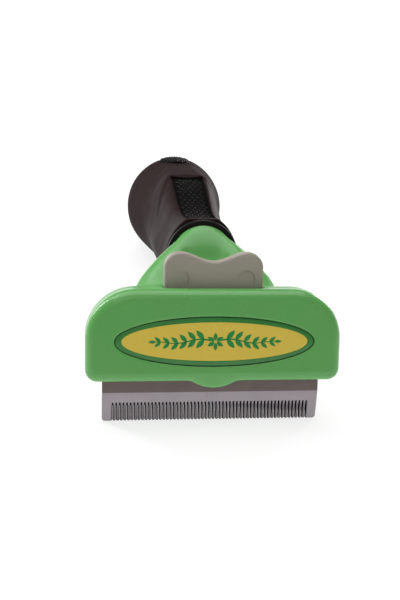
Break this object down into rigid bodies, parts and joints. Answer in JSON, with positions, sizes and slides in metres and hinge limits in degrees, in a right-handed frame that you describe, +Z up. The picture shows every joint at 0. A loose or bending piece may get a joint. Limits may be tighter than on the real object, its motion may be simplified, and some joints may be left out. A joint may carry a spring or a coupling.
{
  "type": "deshedding tool",
  "caption": "Deshedding tool for pets: a fine steel comb blade in a wide head, a sprung thumb button that pushes hair off the teeth, and a round-ended soft handle.",
  "frame": {"origin": "middle of the overall bounding box in plan, at the level the tool rests on", "axes": "+X across the blade, +Y from the blade towards the end of the handle, +Z up; the tool lies on the tips of its teeth and on the underside of the handle's bulb, face towards -Y and up"},
  "size_m": [0.0776, 0.1566, 0.0509],
  "materials": {
    "head_green": "moulded ABS, glossy leaf green",
    "label_print": "printed and clear-coated, yellow field with a dark green rim",
    "blade_steel": "stainless, satin flat and finely ground bevel",
    "sheet_steel": "stainless sheet, lightly brushed",
    "spring_steel": "drawn spring wire",
    "screw_zinc": "bright zinc plated",
    "button_grey": "fine satin texture, warm grey",
    "ring_black": "smooth black",
    "core_black": "plain moulded, hidden",
    "grip_brown": "soft-touch dark brown, satin",
    "insert_black": "knurled soft black, matt"
  },
  "bodies": {
    "housing": {"head_front_shell": "head_green", "head_rear_shell": "head_green", "label_badge": "label_print", "comb_blade": "blade_steel", "return_spring_left": "spring_steel", "return_spring_right": "spring_steel", "spring_guide_left": "screw_zinc", "spring_guide_right": "screw_zinc", "blade_screw_left": "screw_zinc", "blade_screw_right": "screw_zinc", "shell_screw_left_upper": "screw_zinc", "shell_screw_right_upper": "screw_zinc", "shell_screw_left_lower": "screw_zinc", "shell_screw_right_lower": "screw_zinc", "tang_screw": "screw_zinc", "collar_ring": "ring_black", "handle_core": "core_black", "handle_grip": "grip_brown", "grip_insert_top": "insert_black", "grip_insert_end": "insert_black"},
    "ejector": {"ejector_button": "button_grey", "ejector_plate": "sheet_steel", "ejector_screw_left": "screw_zinc", "ejector_screw_right": "screw_zinc"}
  },
  "joints": [
    {"name": "ejector_slide", "type": "slide", "parent": "housing", "child": "ejector", "axis": [0, -0.3219, -0.9468], "range_m": [0, 0.0095], "stiffness_N_per_m": 300, "springref_m": -0.004, "deforming": ["return_spring_left", "return_spring_right"]}
  ]
}
